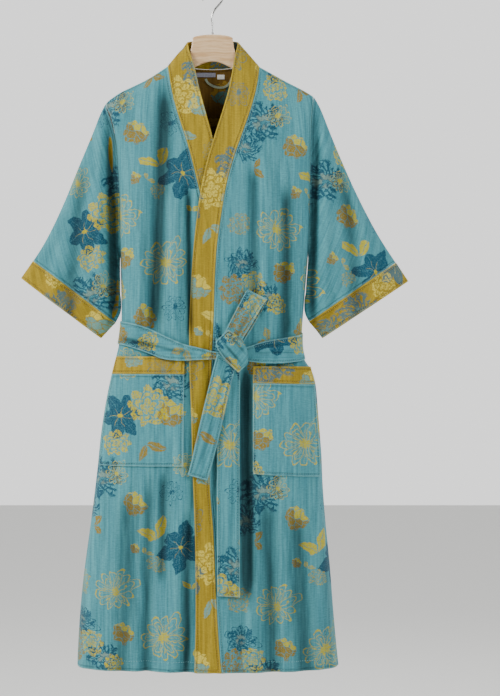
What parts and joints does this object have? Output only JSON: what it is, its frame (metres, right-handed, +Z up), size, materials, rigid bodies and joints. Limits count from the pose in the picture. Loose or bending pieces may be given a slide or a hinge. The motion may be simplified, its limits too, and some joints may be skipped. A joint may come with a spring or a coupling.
{
  "type": "kimono robe on hanger",
  "caption": "Knee-length kimono robe of double gauze with a wrapped front, wide short sleeves, patch pockets and a tied belt, hung on a wooden hanger.",
  "frame": {"origin": "inner top of the hanger's hook, where a rail carries it", "axes": "+Z up, -Y out of the robe's front, +X to the right as the front is seen"},
  "size_m": [0.7064, 0.1532, 1.2485],
  "materials": {
    "gauze_teal": "crinkled cotton double gauze with a woven flower pattern",
    "gauze_mustard": "reverse side of the same gauze, mustard with teal flowers",
    "belt_teal": "the same gauze, folded to a flat belt",
    "hanger_wood": "pale wood, clear satin varnish",
    "hook_steel": "bright plated wire",
    "tape": "woven tape",
    "label_white": "woven label, left bare"
  },
  "bodies": {
    "root": {"back_panel": "gauze_teal", "front_left": "gauze_teal", "front_right": "gauze_teal", "sleeve_left": "gauze_teal", "sleeve_right": "gauze_teal", "cuff_left": "gauze_mustard", "cuff_right": "gauze_mustard", "neckband": "gauze_mustard", "pocket_left": "gauze_teal", "pocket_right": "gauze_teal", "pocket_band_left": "gauze_mustard", "pocket_band_right": "gauze_mustard", "belt_waist": "belt_teal", "belt_knot": "belt_teal", "belt_loop": "belt_teal", "belt_tail_short": "belt_teal", "belt_tail_long": "belt_teal", "hanging_loop": "tape", "neck_label": "tape", "size_label": "label_white", "hanger_body": "hanger_wood", "hanger_hook": "hook_steel"}
  },
  "joints": []
}
